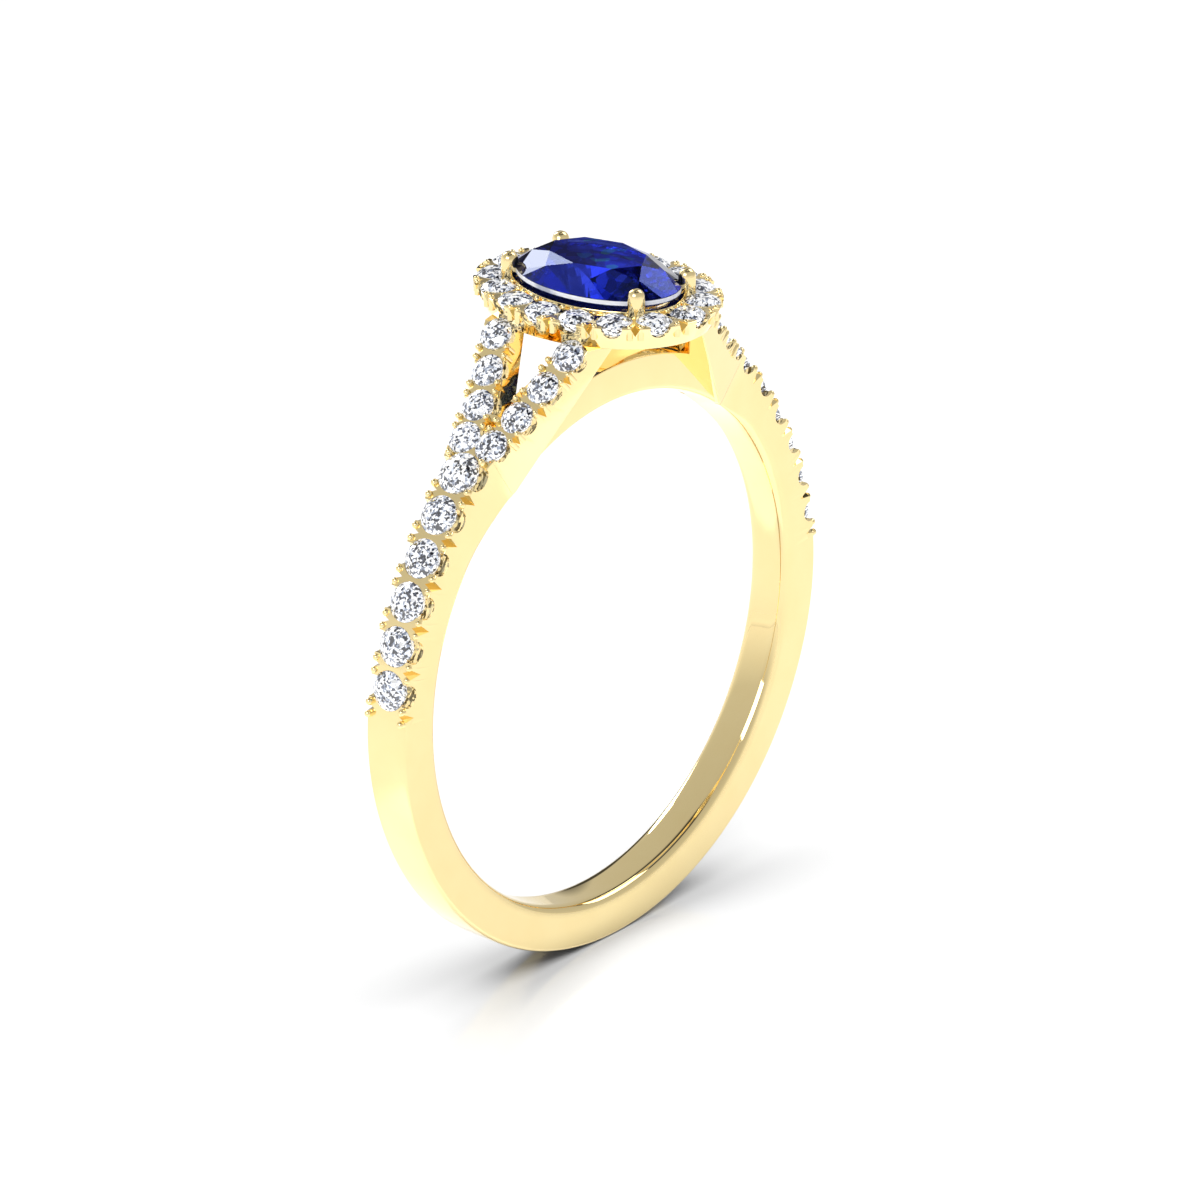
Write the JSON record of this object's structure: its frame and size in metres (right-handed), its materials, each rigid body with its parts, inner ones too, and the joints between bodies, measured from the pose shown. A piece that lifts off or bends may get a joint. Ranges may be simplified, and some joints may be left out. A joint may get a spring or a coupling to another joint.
{
  "type": "engagement ring",
  "caption": "Yellow gold ring with an oval blue centre stone in a halo of small white stones, on a plain band whose stone-set shoulders split to carry the head.",
  "frame": {"origin": "centre of the finger hole, on its axis and midway between the band's two side faces", "axes": "+Y along the finger hole, +Z from the hole's centre up to the head, +X across the band from shoulder to shoulder"},
  "size_m": [0.0206, 0.0088, 0.0236],
  "materials": {
    "band_gold": "mirror-polished 18 karat yellow gold",
    "head_gold": "mirror-polished 18 karat yellow gold",
    "sapphire": "faceted and polished, deep blue",
    "diamond": "faceted and polished, colourless"
  },
  "bodies": {
    "root": {"shank": "band_gold", "bridge": "band_gold", "arm_left_front": "band_gold", "arm_left_back": "band_gold", "arm_right_front": "band_gold", "arm_right_back": "band_gold", "halo_plate": "head_gold", "seat_rail": "head_gold", "claw_left_front": "head_gold", "claw_left_back": "head_gold", "claw_right_front": "head_gold", "claw_right_back": "head_gold", "centre_stone": "sapphire", "halo_stone_01": "diamond", "halo_stone_02": "diamond", "halo_stone_03": "diamond", "halo_stone_04": "diamond", "halo_stone_05": "diamond", "halo_stone_06": "diamond", "halo_stone_07": "diamond", "halo_stone_08": "diamond", "halo_stone_09": "diamond", "halo_stone_10": "diamond", "halo_stone_11": "diamond", "halo_stone_12": "diamond", "halo_stone_13": "diamond", "halo_stone_14": "diamond", "halo_stone_15": "diamond", "halo_stone_16": "diamond", "shoulder_stone_left_1": "diamond", "shoulder_stone_left_2": "diamond", "shoulder_stone_left_3": "diamond", "shoulder_stone_left_4": "diamond", "shoulder_stone_left_5": "diamond", "shoulder_stone_left_6": "diamond", "arm_stone_left_front_1": "diamond", "arm_stone_left_front_2": "diamond", "arm_stone_left_front_3": "diamond", "arm_stone_left_front_4": "diamond", "arm_stone_left_back_1": "diamond", "arm_stone_left_back_2": "diamond", "arm_stone_left_back_3": "diamond", "arm_stone_left_back_4": "diamond", "shoulder_stone_right_1": "diamond", "shoulder_stone_right_2": "diamond", "shoulder_stone_right_3": "diamond", "shoulder_stone_right_4": "diamond", "shoulder_stone_right_5": "diamond", "shoulder_stone_right_6": "diamond", "arm_stone_right_front_1": "diamond", "arm_stone_right_front_2": "diamond", "arm_stone_right_front_3": "diamond", "arm_stone_right_front_4": "diamond", "arm_stone_right_back_1": "diamond", "arm_stone_right_back_2": "diamond", "arm_stone_right_back_3": "diamond", "arm_stone_right_back_4": "diamond"}
  },
  "joints": []
}
